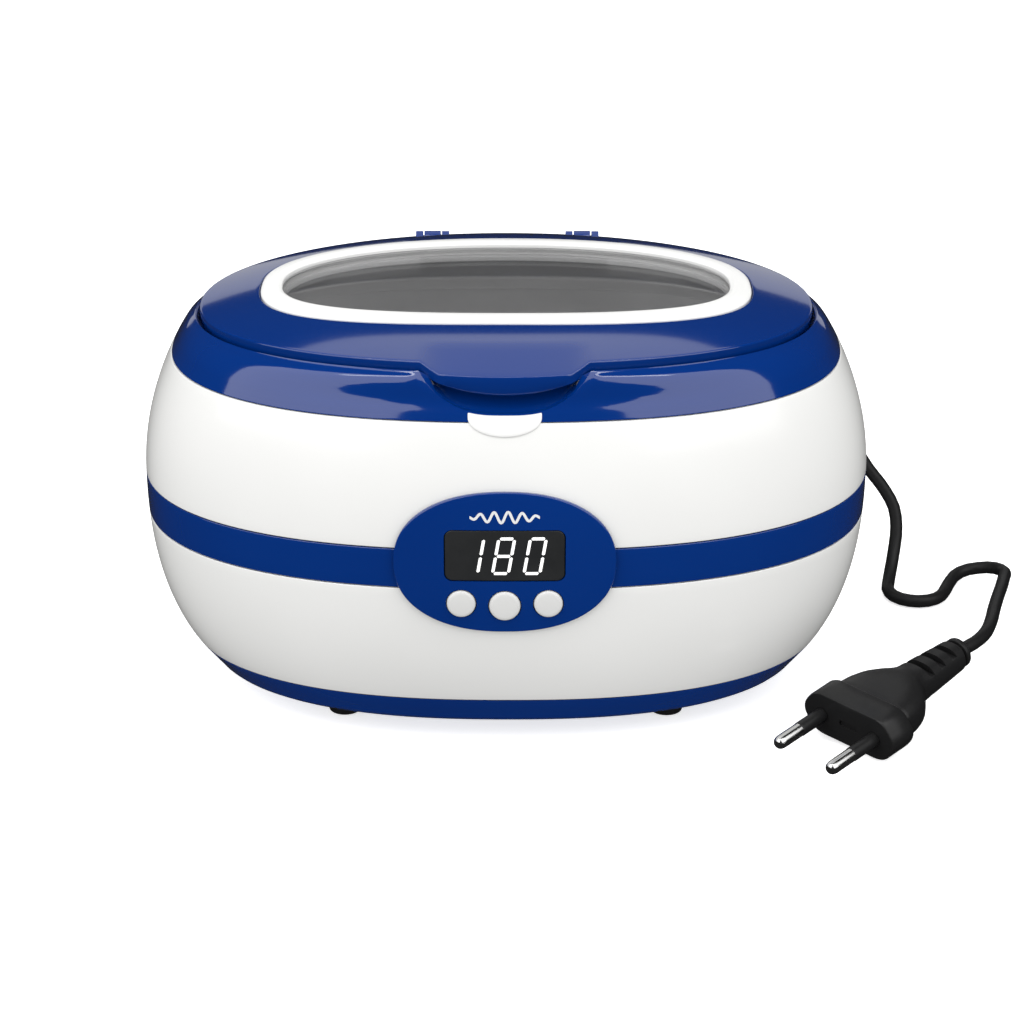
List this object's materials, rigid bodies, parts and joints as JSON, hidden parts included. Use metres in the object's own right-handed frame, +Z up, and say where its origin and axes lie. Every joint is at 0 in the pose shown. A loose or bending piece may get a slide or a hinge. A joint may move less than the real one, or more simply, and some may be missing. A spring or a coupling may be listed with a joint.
{
  "type": "ultrasonic cleaner",
  "caption": "Small table-top ultrasonic cleaner: oval plastic body, steel tank under a hinged window lid, timer display, push buttons, and a mains lead with a flat plug.",
  "frame": {"origin": "on the supporting surface, under the middle of the oval body", "axes": "+X to the right as seen by a person facing the display, along the body's width; the front with the display faces -Y; +Z up"},
  "size_m": [0.2636, 0.1642, 0.1186],
  "materials": {
    "blue_plastic": "polished injection-moulded ABS, royal blue",
    "white_plastic": "polished injection-moulded ABS, white",
    "smoked_window": "clear moulded acrylic, lightly smoked",
    "grey_plastic": "pale grey moulded silicone-plastic seal",
    "display_glass": "dark acrylic display window",
    "steel": "drawn stainless steel, satin",
    "plated_pin": "nickel-plated, polished",
    "aluminium": "machined, satin",
    "black_rubber": "matt black moulded rubber",
    "black_plastic": "matt black moulded plastic",
    "circuit_board": "green solder mask on glass-epoxy",
    "piezo_ceramic": "silvered lead zirconate ceramic",
    "copper": "enamelled copper",
    "ferrite": "sintered ferrite, dark grey"
  },
  "bodies": {
    "housing": {"base_tray": "blue_plastic", "lower_shell": "white_plastic", "waist_band": "blue_plastic", "upper_shell": "white_plastic", "top_housing": "blue_plastic", "thumb_insert": "white_plastic", "control_bezel": "blue_plastic", "display_lens": "display_glass", "display_module": "black_plastic", "control_board": "circuit_board", "tact_switch_set": "black_plastic", "tact_switch_on": "black_plastic", "tact_switch_off": "black_plastic", "hinge_pin_left": "steel", "hinge_pin_right": "steel", "tank": "steel", "tank_trim": "steel", "tank_gasket": "black_rubber", "transducer_front_mass": "aluminium", "piezo_ring_upper": "piezo_ceramic", "piezo_ring_lower": "piezo_ceramic", "electrode_plate": "copper", "transducer_back_mass": "steel", "transducer_bolt": "steel", "driver_board": "circuit_board", "transformer_core": "ferrite", "transformer_winding": "copper", "filter_capacitor": "black_plastic", "tuning_inductor": "copper", "heat_sink": "aluminium", "power_transistor": "black_plastic", "fuse": "plated_pin", "foot_front_left": "black_rubber", "foot_front_right": "black_rubber", "foot_rear_left": "black_rubber", "foot_rear_right": "black_rubber", "base_screw_front_left": "steel", "base_screw_front_right": "steel", "base_screw_rear_left": "steel", "base_screw_rear_right": "steel", "cord_gland": "black_rubber", "mains_cord": "black_rubber", "plug_body": "black_rubber", "plug_pin_left": "plated_pin", "plug_pin_right": "plated_pin", "pin_sleeve_left": "black_plastic", "pin_sleeve_right": "black_plastic"},
    "lid": {"lid_shell": "blue_plastic", "lid_window_frame": "white_plastic", "lid_window": "smoked_window", "window_seal": "grey_plastic"},
    "set_key": {"set_button": "white_plastic"},
    "on_key": {"on_button": "white_plastic"},
    "off_key": {"off_button": "white_plastic"}
  },
  "joints": [
    {"name": "lid_hinge", "type": "hinge", "parent": "housing", "child": "lid", "pos_m": [0, 0.0662, 0.11], "axis": [-1, 0, 0], "range_deg": [0, 100]},
    {"name": "set_press", "type": "slide", "parent": "housing", "child": "set_key", "axis": [0, 1, 0], "range_m": [0, 0.0008], "stiffness_N_per_m": 1200, "springref_m": -0.0004},
    {"name": "on_press", "type": "slide", "parent": "housing", "child": "on_key", "axis": [0, 1, 0], "range_m": [0, 0.0008], "stiffness_N_per_m": 1200, "springref_m": -0.0004},
    {"name": "off_press", "type": "slide", "parent": "housing", "child": "off_key", "axis": [0, 1, 0], "range_m": [0, 0.0008], "stiffness_N_per_m": 1200, "springref_m": -0.0004}
  ]
}
